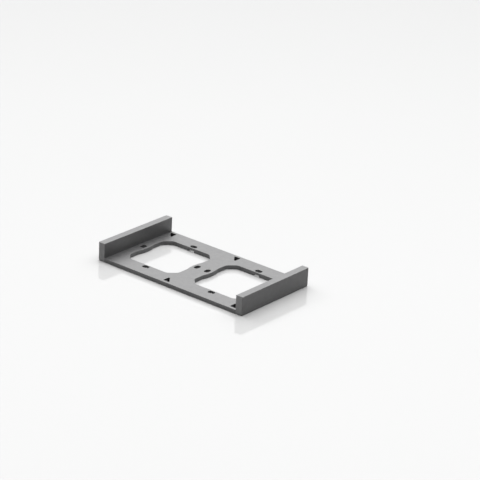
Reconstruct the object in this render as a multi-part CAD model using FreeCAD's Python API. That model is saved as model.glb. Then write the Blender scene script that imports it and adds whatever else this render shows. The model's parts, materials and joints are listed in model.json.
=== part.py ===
"""Two-gang switch mounting frame: a flat grey plate with two square switch openings
between two upright end rails, and four sprung catches that hold the switch modules.

Millimetres. X runs along the length, Y across the width, +Z up.
The origin is the centre of the footprint, on the underside.
"""

import FreeCAD, Part
import math
import os

Vec = FreeCAD.Vector
UP = Vec(0, 0, 1)
ALONG_X = Vec(1, 0, 0)

# ---- driving dimensions -------------------------------------------------------------
GANG_PITCH = 71.0            # centre to centre of two switches, the European raster
SCREW_REACH = 30.0           # box screws sit 60 mm apart, 30 mm each side of the centre
LENGTH = 155.3
WIDTH = 84.0
HEIGHT = 16.5
PLATE_T = 3.6
RAIL_T = (LENGTH - 2 * GANG_PITCH) / 2

APERTURE = 53.4              # square opening for one switch insert
CORNER_CUT = 6.7             # its corners are cut off by this much
CORNER_BLEND = 5.0
SIDE_BULGE = 1.3             # the left and right sides swell inwards beside their slots
BULGE_HALF = 9.0

SLOT_L = 6.6
SLOT_W = 4.4
RELIEF_W = 6.4               # underside relief from a slot to the opening
RELIEF_T = 1.4

TOP_BREAK = 0.15             # small edge breaks on the plate
RAIL_BREAK = 0.15
RAIL_CORNER_R = 0.7
RAIL_FOOT_R = 1.0

# ---- joint between plate and rails: tabs in pockets, screwed from below --------------
TAB_Y = (-30.0, 0.0, 30.0)
TAB_W = 14.0
TAB_L = 4.0
TAB_T = 1.8
TAB_GAP = 0.05
TAB_SCREW_X = 2.2            # from the rail's inner face
RAIL_SCREW = {"r": 0.80, "head_r": 1.5, "head_t": 0.7, "length": 6.5}

# ---- catch station: a triangular hook opening with a sprung catch beside it ----------
STATION_Y = 37.0
HOOK_CORNERS = ((-2.4, -2.6), (4.4, -2.6), (-2.4, 5.9))
HOOK_R = 0.8
SKIN_T = 1.0                 # plate left above the pocket
KEEPER_T = 0.8
KEEPER_X = (-17.2, 4.9)
KEEPER_Y = (-3.5, 6.4)
KEEPER_R = 1.2
KEEPER_SCREWS = ((-15.2, 0.0), (3.1, 3.9))
KEEPER_SCREW = {"r": 0.60, "head_r": 1.1, "head_t": 0.45, "length": 2.7}
POCKET_END = -13.5
WINDOW_WALL = 0.8            # wall that stops the catch, in front of the opening
CATCH_HALF_W = 2.5
CATCH_L = 4.8
NOSE_HALF_W = 1.0
NOSE_OUT = 1.6               # how far the nose stands in the opening, and its travel
NOSE_BEVEL = 0.9
PLAY = 0.1                   # running play beside the catch
END_PLAY = 0.05              # above, below and in front of it
SPIGOT_R = 0.45
SPIGOT_L = 1.2
SPRING_MEAN_R = 0.65
SPRING_WIRE_R = 0.11
SPRING_TURNS = 6
DRIVE_ACROSS = 0.62          # hexagon key size as a share of the head radius
DRIVE_DEPTH = 0.8            # key recess depth as a share of the head height
THREAD_GAP = 0.03

INNER_X = GANG_PITCH
POCKET_TOP = PLATE_T - SKIN_T
WALL_X = HOOK_CORNERS[0][0] - WINDOW_WALL
CATCH_FRONT = WALL_X - END_PLAY
CATCH_BACK = CATCH_FRONT - CATCH_L

GANGS = {"left": -GANG_PITCH / 2, "right": GANG_PITCH / 2}
STATIONS = {
    "left_front": (GANGS["left"] + SCREW_REACH, -STATION_Y, 0),
    "left_rear": (GANGS["left"] - SCREW_REACH, STATION_Y, 180),
    "right_front": (GANGS["right"] + SCREW_REACH, -STATION_Y, 0),
    "right_rear": (GANGS["right"] - SCREW_REACH, STATION_Y, 180),
}


# ---- helpers ------------------------------------------------------------------------
def block(x0, x1, y0, y1, z0, z1):
    return Part.makeBox(x1 - x0, y1 - y0, z1 - z0, Vec(x0, y0, z0))


def prism(corners, z0, z1, radius=0.0):
    """Upright prism over a polygon, with its upright edges rounded."""
    loop = [Vec(x, y, z0) for x, y in corners]
    solid = Part.Face(Part.makePolygon(loop + loop[:1])).extrude(UP * (z1 - z0))
    return round_edges(solid, upright_edges(solid), radius) if radius else solid


def rectangle(x0, x1, y0, y1):
    return ((x0, y0), (x1, y0), (x1, y1), (x0, y1))


def upright_edges(solid):
    return [e for e in solid.Edges if abs(e.tangentAt(e.FirstParameter).z) > 0.99]


def edges_at_z(solid, z):
    return [e for e in solid.Edges if all(abs(v.Z - z) < 1e-4 for v in e.Vertexes)]


def round_edges(solid, edges, radius):
    return solid.makeFillet(radius, edges)


def obround(x, y, along_x, length, width, z0, z1):
    """Round-ended slot cutter, centred at x, y."""
    half = (length - width) / 2
    dx, dy = (half, 0) if along_x else (0, half)
    ends = [Part.makeCylinder(width / 2, z1 - z0, Vec(x + s * dx, y + s * dy, z0)) for s in (-1, 1)]
    reach_x, reach_y = (half, width / 2) if along_x else (width / 2, half)
    middle = block(x - reach_x, x + reach_x, y - reach_y, y + reach_y, z0, z1)
    return middle.fuse(ends).removeSplitter()


def slots(gang_x):
    """Centres and directions of one gang's four screw slots."""
    for s in (-1, 1):
        yield gang_x, s * SCREW_REACH, True
        yield gang_x + s * SCREW_REACH, 0.0, False


def in_station(shape, name):
    """Carry a shape drawn about a front opening to its own station."""
    x, y, turn = STATIONS[name]
    placed = shape.copy()
    placed.rotate(Vec(0, 0, 0), UP, turn)
    placed.translate(Vec(x, y, 0))
    return placed


def countersunk_screw(x, y, size):
    """Flush screw driven up from the underside, with a hexagon recess in its head."""
    bevel = size["head_r"] - size["r"]
    head = Part.makeCone(size["head_r"], size["r"], bevel, Vec(x, y, 0), UP)
    shank = Part.makeCylinder(size["r"], size["length"], Vec(x, y, 0), UP)
    key_r = size["head_r"] * DRIVE_ACROSS
    angles = [math.radians(60 * i) for i in range(6)]
    corners = [(x + key_r * math.cos(angle), y + key_r * math.sin(angle)) for angle in angles]
    key = prism(corners, 0, size["head_t"] * DRIVE_DEPTH)
    return head.fuse(shank).removeSplitter().cut(key)


def countersunk_hole(x, y, size, depth):
    """Room for countersunk_screw, down to a depth, with the thread's small gap."""
    gap = THREAD_GAP
    bevel = size["head_r"] - size["r"]
    cone = Part.makeCone(size["head_r"] + gap, size["r"] + gap, bevel, Vec(x, y, 0), UP)
    return cone.fuse(Part.makeCylinder(size["r"] + gap, depth, Vec(x, y, 0), UP))


# ---- base plate ---------------------------------------------------------------------
def aperture_cutter(gang_x):
    """Square opening with cut corners; its left and right sides swell inwards."""
    a = APERTURE / 2
    c = a - CORNER_CUT
    crown = a - SIDE_BULGE
    right = [Vec(x, y, 0) for x, y in ((a, -c), (a, -BULGE_HALF), (crown, 0), (a, BULGE_HALF), (a, c))]
    left = [Vec(-p.x, -p.y, 0) for p in right]
    edges = []
    for side, opposite in ((right, left), (left, right)):
        edges.append(Part.LineSegment(side[0], side[1]).toShape())
        edges.append(Part.Arc(side[1], side[2], side[3]).toShape())
        edges.append(Part.LineSegment(side[3], side[4]).toShape())
        far = Vec(math.copysign(c, side[4].x), math.copysign(a, side[4].y), 0)
        near = Vec(-far.x, far.y, 0)
        edges.append(Part.LineSegment(side[4], far).toShape())
        edges.append(Part.LineSegment(far, near).toShape())
        edges.append(Part.LineSegment(near, opposite[0]).toShape())
    cutter = Part.Face(Part.Wire(edges)).extrude(UP * PLATE_T)
    cutter = round_edges(cutter, upright_edges(cutter), CORNER_BLEND)
    cutter.translate(Vec(gang_x, 0, 0))
    return cutter


def tab(side, y, gap=0.0):
    """Tab of the plate under a rail; with a gap, the rail's pocket for it."""
    reach = sorted((side * INNER_X, side * (INNER_X + TAB_L + gap)))
    return block(*reach, y - TAB_W / 2 - gap, y + TAB_W / 2 + gap, 0, TAB_T)


def tab_screw_places():
    for side in (-1, 1):
        for y in TAB_Y:
            yield side, side * (INNER_X + TAB_SCREW_X), y


def slot_relief(gang_x, side):
    """Shallow channel under a front or rear slot, open to the switch opening."""
    y_slot = side * SCREW_REACH
    y_open = side * (APERTURE / 2 - 1)
    y0, y1 = sorted((y_slot, y_open))
    return block(gang_x - RELIEF_W / 2, gang_x + RELIEF_W / 2, y0, y1, 0, RELIEF_T)


def station_cutter():
    """Everything a catch station takes out of the plate."""
    keeper = prism(rectangle(*KEEPER_X, *KEEPER_Y), 0, KEEPER_T, KEEPER_R)
    half = CATCH_HALF_W + PLAY
    pocket = block(POCKET_END, WALL_X, -half, half, 0, POCKET_TOP)
    half = NOSE_HALF_W + PLAY
    window = block(WALL_X - 0.5, HOOK_CORNERS[0][0] + 0.5, -half, half, 0, POCKET_TOP)
    opening = prism(HOOK_CORNERS, 0, PLATE_T, HOOK_R)
    depth = KEEPER_SCREW["length"] + END_PLAY
    taps = [countersunk_hole(x, y, KEEPER_SCREW, depth) for x, y in KEEPER_SCREWS]
    return keeper.fuse([pocket, window, opening] + taps)


def base_plate():
    plate = block(-INNER_X, INNER_X, -WIDTH / 2, WIDTH / 2, 0, PLATE_T)
    for gang_x in GANGS.values():
        plate = plate.cut(aperture_cutter(gang_x))
    long_edges = [e for e in edges_at_z(plate, PLATE_T) if abs(e.CenterOfMass.x) < INNER_X - 1]
    plate = plate.makeChamfer(TOP_BREAK, long_edges)
    plate = plate.fuse([tab(side, y) for side in (-1, 1) for y in TAB_Y]).removeSplitter()
    cuts = [countersunk_hole(x, y, RAIL_SCREW, TAB_T) for _, x, y in tab_screw_places()]
    for gang_x in GANGS.values():
        cuts += [obround(x, y, along, SLOT_L, SLOT_W, 0, PLATE_T) for x, y, along in slots(gang_x)]
        cuts += [slot_relief(gang_x, side) for side in (-1, 1)]
    cuts += [in_station(station_cutter(), name) for name in STATIONS]
    return plate.cut(cuts)


# ---- end rails ----------------------------------------------------------------------
def end_rail(side):
    x0, x1 = sorted((side * INNER_X, side * (INNER_X + RAIL_T)))
    rail = block(x0, x1, -WIDTH / 2, WIDTH / 2, 0, HEIGHT)
    outer = side * (INNER_X + RAIL_T)
    outer_uprights = [e for e in upright_edges(rail) if abs(e.CenterOfMass.x - outer) < 1e-3]
    rail = round_edges(rail, outer_uprights, RAIL_CORNER_R)
    inner = side * INNER_X
    foot = [e for e in edges_at_z(rail, 0) if abs(e.CenterOfMass.x - inner) > 1e-3]
    rail = round_edges(rail, foot, RAIL_FOOT_R)
    rail = rail.makeChamfer(RAIL_BREAK, edges_at_z(rail, HEIGHT))
    cuts = [tab(side, y, TAB_GAP) for y in TAB_Y]
    thread_r = RAIL_SCREW["r"] + THREAD_GAP
    depth = RAIL_SCREW["length"] + 0.5
    for end, x, y in tab_screw_places():
        if end == side:
            cuts.append(Part.makeCylinder(thread_r, depth, Vec(x, y, 0), UP))
    return rail.cut(cuts)


def rail_screws(side):
    return [countersunk_screw(x, y, RAIL_SCREW) for end, x, y in tab_screw_places() if end == side]


# ---- catch station ------------------------------------------------------------------
def keeper():
    """Flush cover under the catch, spring and hook opening."""
    gap = TAB_GAP
    x0, x1 = KEEPER_X
    y0, y1 = KEEPER_Y
    outline = rectangle(x0 + gap, x1 - gap, y0 + gap, y1 - gap)
    plate = prism(outline, 0, KEEPER_T, KEEPER_R - gap)
    return plate.cut([countersunk_hole(x, y, KEEPER_SCREW, KEEPER_T) for x, y in KEEPER_SCREWS])


def catch():
    """Sliding catch: a body, a bevelled nose and a spigot for the spring."""
    z0 = KEEPER_T + END_PLAY
    z1 = POCKET_TOP - END_PLAY
    body = block(CATCH_BACK, CATCH_FRONT, -CATCH_HALF_W, CATCH_HALF_W, z0, z1)
    body = round_edges(body, upright_edges(body), 0.4)
    tip = HOOK_CORNERS[0][0] + NOSE_OUT
    root = CATCH_FRONT - 1
    side_view = [(root, z0), (tip, z0), (tip, z1 - NOSE_BEVEL), (tip - NOSE_BEVEL, z1), (root, z1)]
    loop = [Vec(x, -NOSE_HALF_W, z) for x, z in side_view]
    nose = Part.Face(Part.makePolygon(loop + loop[:1])).extrude(Vec(0, 2 * NOSE_HALF_W, 0))
    spigot = Part.makeCylinder(SPIGOT_R, SPIGOT_L, Vec(CATCH_BACK - SPIGOT_L, 0, spring_z()), ALONG_X)
    return body.fuse([nose, spigot]).removeSplitter()


def spring_z():
    return (KEEPER_T + POCKET_TOP) / 2


def catch_spring():
    """Compression spring between the catch and the end of its pocket."""
    room = CATCH_BACK - POCKET_END
    length = room - 2 * (SPRING_WIRE_R + END_PLAY)
    coil = Part.makeHelix(length / SPRING_TURNS, length, SPRING_MEAN_R)
    start = Vec(SPRING_MEAN_R, 0, 0)
    section = Part.Wire(Part.makeCircle(SPRING_WIRE_R, start, Vec(0, 1, 0)))
    spring = Part.Wire(coil.Edges).makePipeShell([section], True, True)
    spring.rotate(Vec(0, 0, 0), Vec(0, 1, 0), 90)
    spring.translate(Vec(POCKET_END + SPRING_WIRE_R + END_PLAY, 0, spring_z()))
    return spring


def keeper_screws():
    return [countersunk_screw(x, y, KEEPER_SCREW) for x, y in KEEPER_SCREWS]


# ---- export -------------------------------------------------------------------------
def save(node, solids):
    shape = solids[0] if len(solids) == 1 else Part.makeCompound(solids)
    shape.exportStep("parts/" + node + ".step")
    volume = sum(s.Volume for s in solids)
    print(f"{node}: {len(solids)} solid(s), {volume:.2f} mm3, valid {shape.isValid()}")


def main():
    os.makedirs("parts", exist_ok=True)
    save("base_plate", [base_plate()])
    for side, word in ((-1, "left"), (1, "right")):
        save(word + "_end_rail", [end_rail(side)])
        save(word + "_rail_screws", rail_screws(side))
    for name in STATIONS:
        save(name + "_catch", [in_station(catch(), name)])
        save(name + "_catch_spring", [in_station(catch_spring(), name)])
        save(name + "_keeper", [in_station(keeper(), name)])
        save(name + "_keeper_screws", [in_station(s, name) for s in keeper_screws()])


main()
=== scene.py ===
# %% [markdown]
# # A two-gang switch frame in anodised aluminium
#
# The object is a flat plate with two square openings, held between two upright end
# rails. Four small sprung catches sit in pockets of the plate, and each one shows its
# nose through a triangular hook opening.
#
# All of that has its exact shape already, in the frame that is loaded here. This lesson
# adds what a drawing office leaves out: the finish of each metal, springs that are
# wound like real ones, and the light of a small product studio.

# %% Load the frame
import json
import math

import bpy
from mathutils import Euler, Matrix, Vector


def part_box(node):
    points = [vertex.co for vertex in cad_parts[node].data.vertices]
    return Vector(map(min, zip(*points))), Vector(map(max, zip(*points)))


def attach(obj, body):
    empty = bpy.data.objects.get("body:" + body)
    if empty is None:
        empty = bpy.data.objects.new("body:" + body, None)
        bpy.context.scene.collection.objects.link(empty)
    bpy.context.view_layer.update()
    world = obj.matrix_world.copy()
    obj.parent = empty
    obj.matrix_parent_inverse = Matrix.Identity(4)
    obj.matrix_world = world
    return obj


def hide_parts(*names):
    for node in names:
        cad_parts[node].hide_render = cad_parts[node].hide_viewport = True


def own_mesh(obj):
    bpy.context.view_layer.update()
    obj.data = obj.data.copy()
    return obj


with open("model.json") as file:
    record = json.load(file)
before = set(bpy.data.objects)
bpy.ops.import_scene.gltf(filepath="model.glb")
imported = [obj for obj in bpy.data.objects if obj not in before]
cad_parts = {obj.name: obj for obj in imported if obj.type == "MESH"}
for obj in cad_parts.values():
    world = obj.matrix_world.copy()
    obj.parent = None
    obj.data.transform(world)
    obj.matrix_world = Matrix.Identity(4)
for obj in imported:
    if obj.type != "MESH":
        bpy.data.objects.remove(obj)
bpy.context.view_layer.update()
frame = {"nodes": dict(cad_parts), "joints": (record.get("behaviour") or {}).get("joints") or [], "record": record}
nodes = frame["nodes"]
MM = 0.001

# %% [markdown]
# ## Camera
#
# The camera stands well back and has a long lens, so that parallel edges stay nearly
# parallel. It is placed the way a tripod is: a point to aim at, a direction to stand
# in, a distance, and a small roll of the head. Its rotation is built from the same
# angles, because a tracking constraint would not keep the roll.

# %% Camera
AIM = Vector((0.01617, 0.02733, 0.02643))
AZIMUTH, ELEVATION, ROLL = (math.radians(d) for d in (38.862, 22.847, 2.846))
DISTANCE = 1.8257
LENS = 166.32

turn = Euler((math.pi / 2 - ELEVATION, 0, AZIMUTH)).to_matrix() @ Matrix.Rotation(ROLL, 3, "Z")
camera_data = bpy.data.cameras.new("camera")
camera_data.lens = LENS
camera = bpy.data.objects.new("camera", camera_data)
camera.matrix_world = Matrix.Translation(AIM + turn @ Vector((0, 0, DISTANCE))) @ turn.to_4x4()
bpy.context.scene.collection.objects.link(camera)
bpy.context.scene.camera = camera
print("camera stands at", [round(v, 3) for v in camera.matrix_world.translation])


# %% [markdown]
# ## Helpers for materials
#
# Every finish here is a Principled shader with a few texture nodes in front of it.
# `finish` makes the shader and sets its plain numbers on its own sockets. `grain` gives
# a noise that reads Object coordinates, which on these pieces are metres in the frame,
# so a scale of 1000 means features about a millimetre wide on every piece. A noise
# seldom leaves the middle of its range, so `between` and `tint` stretch that middle out.

# %% Helpers for materials
NOISE_LOW = 0.3
NOISE_HIGH = 0.7
EDGE_R = 0.1 * MM


def finish(name, color, roughness, metallic=0.0, **sockets):
    """A new material; returns it with its tree and its Principled node."""
    material = bpy.data.materials.new(name)
    material.use_nodes = True
    shader = material.node_tree.nodes["Principled BSDF"]
    shader.inputs["Base Color"].default_value = (*color, 1)
    shader.inputs["Roughness"].default_value = roughness
    shader.inputs["Metallic"].default_value = metallic
    for socket, value in sockets.items():
        shader.inputs[socket.replace("_", " ")].default_value = value
    return material, material.node_tree, shader


def grain(tree, scale, detail=2.0, stretch=(1, 1, 1)):
    """Noise in Object coordinates; stretch draws it out along an axis."""
    where = tree.nodes.new("ShaderNodeTexCoord")
    mapping = tree.nodes.new("ShaderNodeMapping")
    mapping.inputs["Scale"].default_value = stretch
    noise = tree.nodes.new("ShaderNodeTexNoise")
    noise.inputs["Scale"].default_value = scale
    noise.inputs["Detail"].default_value = detail
    tree.links.new(where.outputs["Object"], mapping.inputs["Vector"])
    tree.links.new(mapping.outputs["Vector"], noise.inputs["Vector"])
    return noise.outputs["Fac"]


def between(tree, factor, low, high):
    """Carries a noise onto a range of numbers."""
    node = tree.nodes.new("ShaderNodeMapRange")
    node.inputs["From Min"].default_value = NOISE_LOW
    node.inputs["From Max"].default_value = NOISE_HIGH
    node.inputs["To Min"].default_value = low
    node.inputs["To Max"].default_value = high
    tree.links.new(factor, node.inputs["Value"])
    return node.outputs["Result"]


def tint(tree, factor, dark, light):
    """Blends two colours by a noise."""
    node = tree.nodes.new("ShaderNodeValToRGB")
    node.color_ramp.elements[0].position = NOISE_LOW
    node.color_ramp.elements[0].color = (*dark, 1)
    node.color_ramp.elements[1].position = NOISE_HIGH
    node.color_ramp.elements[1].color = (*light, 1)
    tree.links.new(factor, node.inputs["Fac"])
    return node.outputs["Color"]


def soft_edges(tree):
    """A shading normal that rolls over the sharp edges, as a tumbled edge does."""
    node = tree.nodes.new("ShaderNodeBevel")
    node.samples = 4
    node.inputs["Radius"].default_value = EDGE_R
    return node.outputs["Normal"]


def relief(tree, shader, height, depth, strength):
    """Turns a height into a bump, on top of the softened edges."""
    node = tree.nodes.new("ShaderNodeBump")
    node.inputs["Distance"].default_value = depth
    node.inputs["Strength"].default_value = strength
    tree.links.new(height, node.inputs["Height"])
    tree.links.new(soft_edges(tree), node.inputs["Normal"])
    tree.links.new(node.outputs["Normal"], shader.inputs["Normal"])


# %% [markdown]
# ## Anodised anthracite
#
# The plate and the rails are bead-blasted aluminium with a dark grey anodic layer. The
# blasting leaves a fine, even pebble about two hundredths of a millimetre deep, which
# spreads every highlight wide: from the side the surface looks nearly black, and
# towards a bright light it turns light grey. Dyed oxide takes nearly all of the
# scattered light away and leaves the gloss. So the base colour is almost black, and a
# high index of refraction makes the surface live from what it reflects. Three noises
# carry it: a broad one for the slight cloudiness of the dye, a middle one for patches
# that are a little shinier, and a fine one for the blasted grain.
#
# The rails are bar cut to length. Their end faces are painted a shade lighter: painted
# light, standing in for the light that falls on those faces. One mask finds those ends: it is 1 where the
# surface looks along Y and lies beyond the plate, so no extra material is needed.

# %% Anodised anthracite
PEBBLE_DEPTH = 0.02 * MM
FACES_ALONG = 0.9
# Painted light: the rail end faces get this lighter grey in place of the light that falls on them.
PAINTED_LIGHT_END_GREY = (0.110, 0.110, 0.111, 1)
# A Mix node keeps one set of sockets for each kind of value; these are the colour ones.
MIX_FACTOR, MIX_FIRST, MIX_SECOND = 0, 6, 7
MIX_RESULT = 2


def passes(tree, value, limit):
    """1 where the size of a value is over a limit, 0 elsewhere."""
    size = tree.nodes.new("ShaderNodeMath")
    size.operation = "ABSOLUTE"
    over = tree.nodes.new("ShaderNodeMath")
    over.operation = "GREATER_THAN"
    over.inputs[1].default_value = limit
    tree.links.new(value, size.inputs[0])
    tree.links.new(size.outputs[0], over.inputs[0])
    return over.outputs[0]


def painted_light_end_mask(tree, plate_end):
    """A mask of the rail end faces, which are painted lighter as painted light."""
    where = tree.nodes.new("ShaderNodeTexCoord")
    place = tree.nodes.new("ShaderNodeSeparateXYZ")
    surface = tree.nodes.new("ShaderNodeNewGeometry")
    looks = tree.nodes.new("ShaderNodeSeparateXYZ")
    both = tree.nodes.new("ShaderNodeMath")
    both.operation = "MULTIPLY"
    tree.links.new(where.outputs["Object"], place.inputs[0])
    tree.links.new(surface.outputs["True Normal"], looks.inputs[0])
    tree.links.new(passes(tree, place.outputs["X"], plate_end), both.inputs[0])
    tree.links.new(passes(tree, looks.outputs["Y"], FACES_ALONG), both.inputs[1])
    return both.outputs[0]


def anodised_anthracite(plate_end):
    """The finish of plate and rails; plate_end is where the plate meets a rail, in X."""
    material, tree, shader = finish("anodised_anthracite", (0.029, 0.029, 0.030), 0.43, IOR=2.2)
    cloud = tint(tree, grain(tree, 45, detail=3), (0.026, 0.026, 0.027), (0.032, 0.032, 0.033))
    # Painted light: the rail end faces are blended to the lighter grey here.
    lighter = tree.nodes.new("ShaderNodeMix")
    lighter.data_type = "RGBA"
    lighter.inputs[MIX_SECOND].default_value = PAINTED_LIGHT_END_GREY
    tree.links.new(painted_light_end_mask(tree, plate_end), lighter.inputs[MIX_FACTOR])
    tree.links.new(cloud, lighter.inputs[MIX_FIRST])
    tree.links.new(lighter.outputs[MIX_RESULT], shader.inputs["Base Color"])
    patches = grain(tree, 260, detail=3)
    tree.links.new(between(tree, patches, 0.46, 0.54), shader.inputs["Roughness"])
    pebble = grain(tree, 2600, detail=2)
    relief(tree, shader, pebble, PEBBLE_DEPTH, strength=0.5)
    return material


# %% [markdown]
# ## Steels
#
# Catches, keepers and screws are blackened: a thin dark oxide over steel, so they stay
# metallic but dark. The catches and above all the keepers are made darker still as painted
# shade, so that the hook openings look like deep holes in shadow; the keepers are the darkest.
# Fine lines of the rolled strip stay visible in all of them. The spring wire
# is left bright and is drawn, which leaves long fine lines along the wire.

# %% Steels
GROOVE_DEPTH = 0.004 * MM
LINE_DARK, LINE_LIGHT = 0.82, 1.12
LINE_SMOOTH, LINE_ROUGH = 0.85, 1.2


def steel(name, color, roughness, stretch):
    """Metal with fine lines, drawn out along the axis with the smallest stretch."""
    material, tree, shader = finish(name, color, roughness, metallic=1.0)
    lines = grain(tree, 900, detail=4, stretch=stretch)
    darker = tuple(c * LINE_DARK for c in color)
    lighter = tuple(c * LINE_LIGHT for c in color)
    tree.links.new(tint(tree, lines, darker, lighter), shader.inputs["Base Color"])
    uneven = between(tree, lines, roughness * LINE_SMOOTH, roughness * LINE_ROUGH)
    tree.links.new(uneven, shader.inputs["Roughness"])
    relief(tree, shader, lines, GROOVE_DEPTH, strength=0.6)
    return material


materials = {
    "anodised_anthracite": anodised_anthracite(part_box("right_end_rail")[0].x),
    # Catch colour: blackened steel, darkened further as painted shade inside the hook openings.
    "catch_steel": steel("catch_steel", (0.07, 0.07, 0.073), 0.45, (0.08, 1, 1)),
    "spring_wire": steel("spring_wire", (0.46, 0.46, 0.48), 0.28, (1, 0.3, 0.3)),
    # Keeper colour: blackened steel, darkened almost to black as painted shade inside the hook openings.
    "keeper_plate": steel("keeper_plate", (0.014, 0.014, 0.015), 0.55, (0.1, 1, 1)),
    "screw_steel": steel("screw_steel", (0.16, 0.16, 0.165), 0.36, (1, 1, 0.3)),
}
print("finishes:", ", ".join(materials))

# %% [markdown]
# ## Give each node its finish
#
# The record already says which finish each node has, by the name of a material slot.
# Reading it from there keeps one list instead of two.

# %% Give each node its finish
slot_of = {part["node"]: part["material_slot"] for part in frame["record"]["subparts"]}
for name, node in nodes.items():
    node.data.materials.clear()
    node.data.materials.append(materials[slot_of[name]])
print("dressed", len(slot_of), "nodes")


# %% [markdown]
# ## Catch springs
#
# A real compression spring has a closed turn at each end, wound flat against the next
# one, so that it stands square in its pocket. The drawing has only an open coil. The
# spring is modelled once per pocket as a wire section carried round an axis by the
# Screw modifier, in three lengths: closed turns, open turns, closed turns.

# %% Catch springs
WIRE_R = 0.11 * MM
CLOSED_TURNS = 1.5
OPEN_TURNS = 4.0
CLOSED_PITCH = 2.2  # wire radii per turn, so closed turns all but touch
WIRE_SIDES = 10
STEPS_PER_TURN = 20
WELD_SHARE = 0.05  # of the wire's radius
CREASE = math.radians(50)
FULL_TURN = 2 * math.pi


def deselect_all():
    """Leaves edit mode, if need be, and selects nothing."""
    if bpy.context.object and bpy.context.object.mode != "OBJECT":
        bpy.ops.object.mode_set(mode="OBJECT")
    bpy.ops.object.select_all(action="DESELECT")


def wound_stretch(name, radius, turns, rise, start_angle):
    """A wire wound round +Z from z = 0, beginning at an angle about the axis."""
    deselect_all()
    bpy.ops.mesh.primitive_circle_add(vertices=WIRE_SIDES, radius=WIRE_R, location=(radius, 0, 0))
    wire = bpy.context.object
    wire.name = name
    bpy.ops.object.mode_set(mode="EDIT")
    bpy.ops.mesh.select_all(action="SELECT")
    bpy.ops.transform.rotate(value=math.pi / 2, orient_axis="X", center_override=(radius, 0, 0))
    bpy.ops.object.mode_set(mode="OBJECT")
    bpy.ops.object.transform_apply(location=True, rotation=True, scale=True)
    screw = wire.modifiers.new("wind", "SCREW")
    screw.axis = "Z"
    screw.angle = turns * FULL_TURN
    screw.screw_offset = rise
    screw.steps = screw.render_steps = round(turns * STEPS_PER_TURN)
    screw.use_merge_vertices = False
    bpy.ops.object.modifier_apply(modifier="wind")
    wire.rotation_euler.z = start_angle
    bpy.ops.object.transform_apply(location=False, rotation=True, scale=False)
    return wire


def close_ends():
    """On the active coil: welds the stretches, caps both cut ends, turns faces outwards."""
    bpy.ops.object.mode_set(mode="EDIT")
    bpy.ops.mesh.select_all(action="SELECT")
    bpy.ops.mesh.remove_doubles(threshold=WIRE_R * WELD_SHARE)
    bpy.ops.mesh.select_all(action="DESELECT")
    bpy.ops.mesh.select_non_manifold(extend=False, use_wire=False, use_boundary=True, use_multi_face=False,
                                     use_non_contiguous=False, use_verts=False)
    bpy.ops.mesh.fill()
    bpy.ops.mesh.select_all(action="SELECT")
    bpy.ops.mesh.normals_make_consistent(inside=False)
    bpy.ops.object.mode_set(mode="OBJECT")
    bpy.ops.object.shade_smooth_by_angle(angle=CREASE)


def catch_spring(node_name, joint):
    """Winds one spring in its CAD box, turned along its catch's joint axis, and attaches it to the frame."""
    low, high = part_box(node_name)
    away = joint["axis"][0]
    fixed_x = high.x if away > 0 else low.x
    centre = (low + high) / 2
    radius = (high.z - low.z) / 2 - WIRE_R
    closed_rise = CLOSED_TURNS * CLOSED_PITCH * WIRE_R
    length = (high.x - low.x) - 2 * WIRE_R
    open_rise = length - 2 * closed_rise
    closed_turn = CLOSED_TURNS * FULL_TURN
    open_turn = OPEN_TURNS * FULL_TURN
    stretches = (
        (CLOSED_TURNS, closed_rise, 0.0, 0.0),
        (OPEN_TURNS, open_rise, closed_turn, closed_rise),
        (CLOSED_TURNS, closed_rise, closed_turn + open_turn, closed_rise + open_rise),
    )
    wires = []
    for turns, rise, angle, foot in stretches:
        wire = wound_stretch(node_name + "_coil", radius, turns, rise, angle)
        wire.location.z = foot
        wires.append(wire)
    deselect_all()
    for wire in wires:
        wire.select_set(True)
    bpy.context.view_layer.objects.active = wires[0]
    bpy.ops.object.join()
    coil = bpy.context.object
    bpy.ops.object.transform_apply(location=True, rotation=True, scale=True)
    close_ends()
    coil.rotation_euler.y = -away * math.pi / 2
    coil.location = (fixed_x - away * WIRE_R, centre.y, centre.z)
    bpy.ops.object.transform_apply(location=True, rotation=True, scale=True)
    coil.data.materials.append(materials["spring_wire"])
    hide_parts(node_name)
    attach(coil, "frame")
    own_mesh(coil)
    return coil


for joint in frame["joints"]:
    station = joint["name"].removesuffix("_catch_slide")
    coil = catch_spring(station + "_catch_spring", joint)
    print(coil.name, len(coil.data.polygons), "faces")

# %% [markdown]
# ## Floor
#
# The object lies on a white table with a faint gloss: its own sides mirror softly in
# it. The table is one large plane. A little noise in its roughness keeps the mirror from looking like glass.

# %% Floor
FLOOR_SIZE = 14.0
deselect_all()
bpy.ops.mesh.primitive_plane_add(size=FLOOR_SIZE, location=(0, 0, 0))
floor = bpy.context.object
floor.name = "floor"
table_top, tree, shader = finish("white_table", (0.435, 0.435, 0.435), 0.07, IOR=1.27)
tree.links.new(between(tree, grain(tree, 60), 0.05, 0.09), shader.inputs["Roughness"])
floor.data.materials.append(table_top)

# %% [markdown]
# ## Light
#
# The studio has one very large soft light overhead, tipped a little away from the
# camera, and black felt low down all round. So the upright faces mirror the white
# table, and the flat faces mirror the fading lower edge of the light. A narrow strip
# on the left throws the one shadow with an edge to it.
#
# The large light is the World itself. Its middle lies in the direction `TOWARDS`, and
# the further a direction turns from there, the darker the World is. Camera rays see a
# plain pale World instead.

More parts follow.
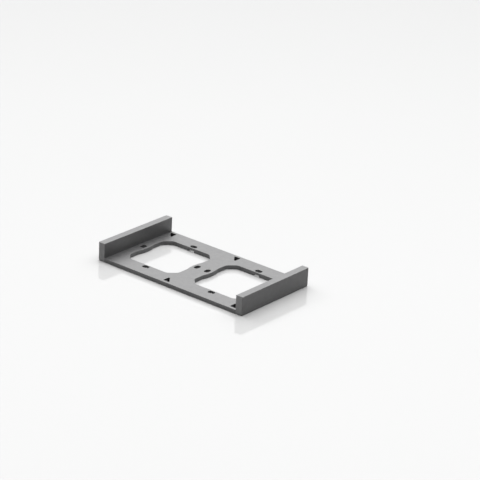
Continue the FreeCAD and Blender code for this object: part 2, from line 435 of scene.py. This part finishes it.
# %% Large soft light
BRIGHT = 3.6
DIM = 0.05
TOWARDS = Vector((-0.18, 0.30, 0.94)).normalized()
DARK_BELOW = 0.45  # cosine of the angle to TOWARDS
BRIGHT_ABOVE = 0.88
BACKDROP = 0.98

world = bpy.data.worlds.new("studio")
bpy.context.scene.world = world
world.use_nodes = True
tree = world.node_tree
background = tree.nodes["Background"]
where = tree.nodes.new("ShaderNodeTexCoord")
facing = tree.nodes.new("ShaderNodeVectorMath")
facing.operation = "DOT_PRODUCT"
facing.inputs[1].default_value = TOWARDS
ramp = tree.nodes.new("ShaderNodeMapRange")
ramp.interpolation_type = "SMOOTHSTEP"
ramp.inputs["From Min"].default_value = DARK_BELOW
ramp.inputs["From Max"].default_value = BRIGHT_ABOVE
ramp.inputs["To Min"].default_value = DIM
ramp.inputs["To Max"].default_value = BRIGHT
seen = tree.nodes.new("ShaderNodeLightPath")
choose = tree.nodes.new("ShaderNodeMix")
choose.inputs["B"].default_value = BACKDROP
tree.links.new(where.outputs["Generated"], facing.inputs[0])
tree.links.new(facing.outputs["Value"], ramp.inputs["Value"])
tree.links.new(seen.outputs["Is Camera Ray"], choose.inputs["Factor"])
tree.links.new(ramp.outputs["Result"], choose.inputs["A"])
tree.links.new(choose.outputs["Result"], background.inputs["Strength"])
background.inputs["Color"].default_value = (1, 1, 1, 1)


# %% Strip light
def area_light(name, place, target, width, height, power):
    """A soft rectangle that looks from its place at the target; camera rays miss it."""
    data = bpy.data.lights.new(name, "AREA")
    data.shape = "RECTANGLE"
    data.size, data.size_y = width, height
    data.energy = power
    lamp = bpy.data.objects.new(name, data)
    direction = (Vector(target) - Vector(place)).to_track_quat("-Z", "Y")
    lamp.matrix_world = Matrix.Translation(place) @ direction.to_matrix().to_4x4()
    lamp.visible_camera = False
    bpy.context.scene.collection.objects.link(lamp)


area_light("left_strip", place=(-2.5, 0.2, 1.62), target=(0, 0, 0), width=1.2, height=0.35, power=14)
bpy.context.scene.view_settings.view_transform = "Standard"
print("lights ready")
